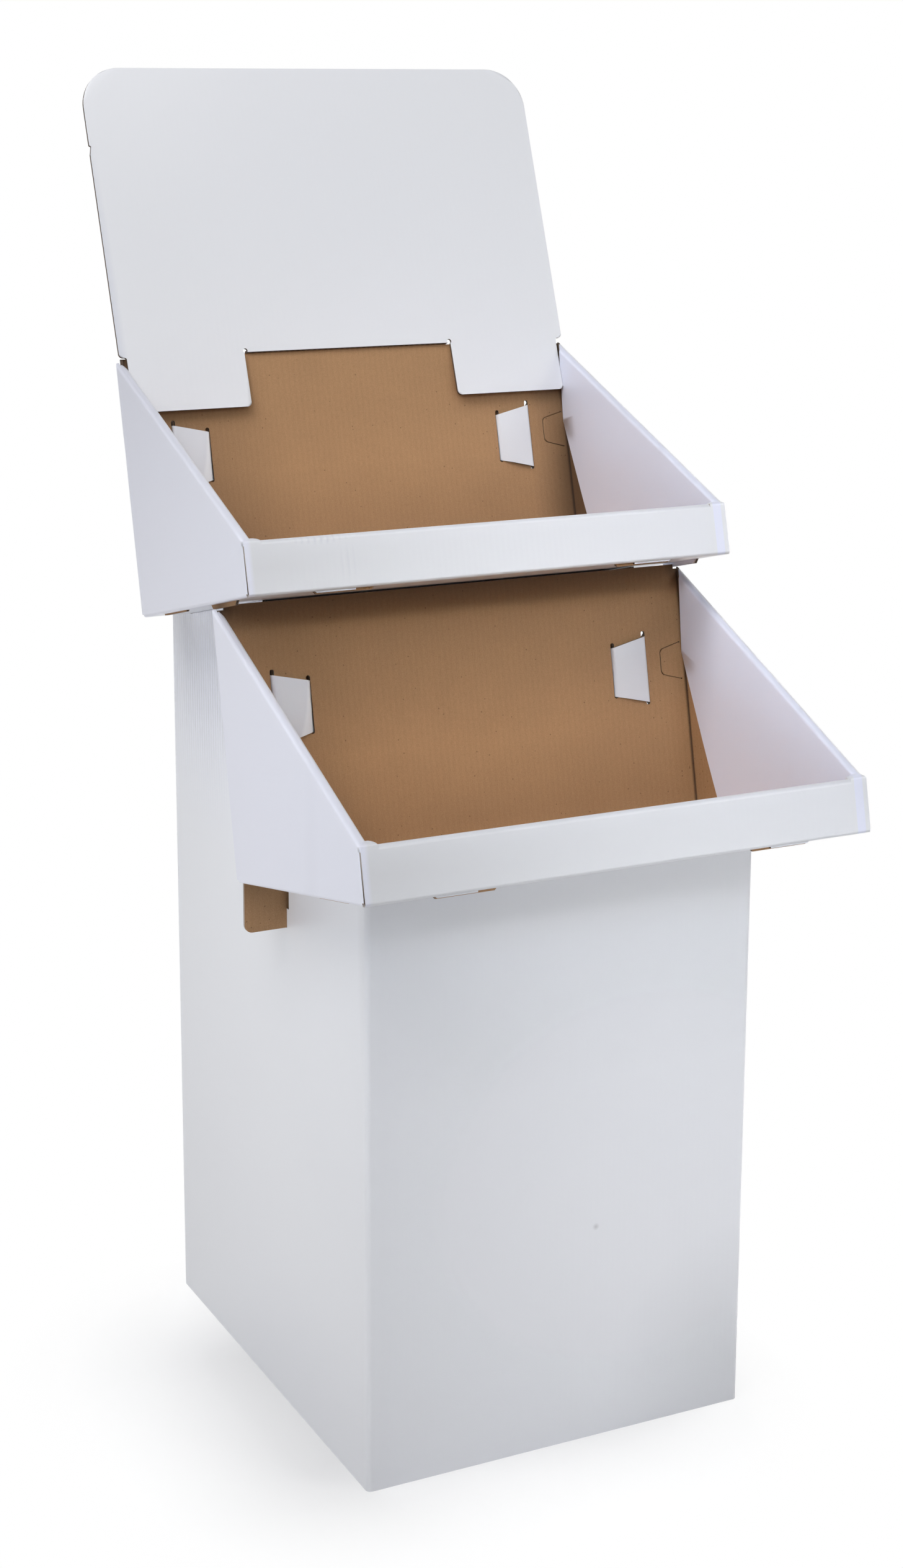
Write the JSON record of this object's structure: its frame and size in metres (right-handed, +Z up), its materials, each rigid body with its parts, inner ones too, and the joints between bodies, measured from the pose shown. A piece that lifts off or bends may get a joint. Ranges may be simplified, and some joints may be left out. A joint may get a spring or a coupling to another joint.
{
  "type": "cardboard display stand",
  "caption": "Floor display stand of folded corrugated board: a hollow column carries stepped, tipped-back trays, and a header card leans back over the top.",
  "frame": {"origin": "on the floor, at the middle of the stand's width and overall depth", "axes": "+Z up, +Y from the front to the back, +X to the right as a shopper faces the stand"},
  "size_m": [0.528, 0.7214, 1.343],
  "materials": {
    "white_board": "white coated liner outside, brown kraft inside, slight gloss",
    "kraft_board": "uncoated brown kraft, matte"
  },
  "bodies": {
    "root": {"column": "white_board", "lower_tray": "white_board", "upper_tray": "white_board", "header_card": "white_board", "support_panel": "kraft_board"}
  },
  "joints": []
}
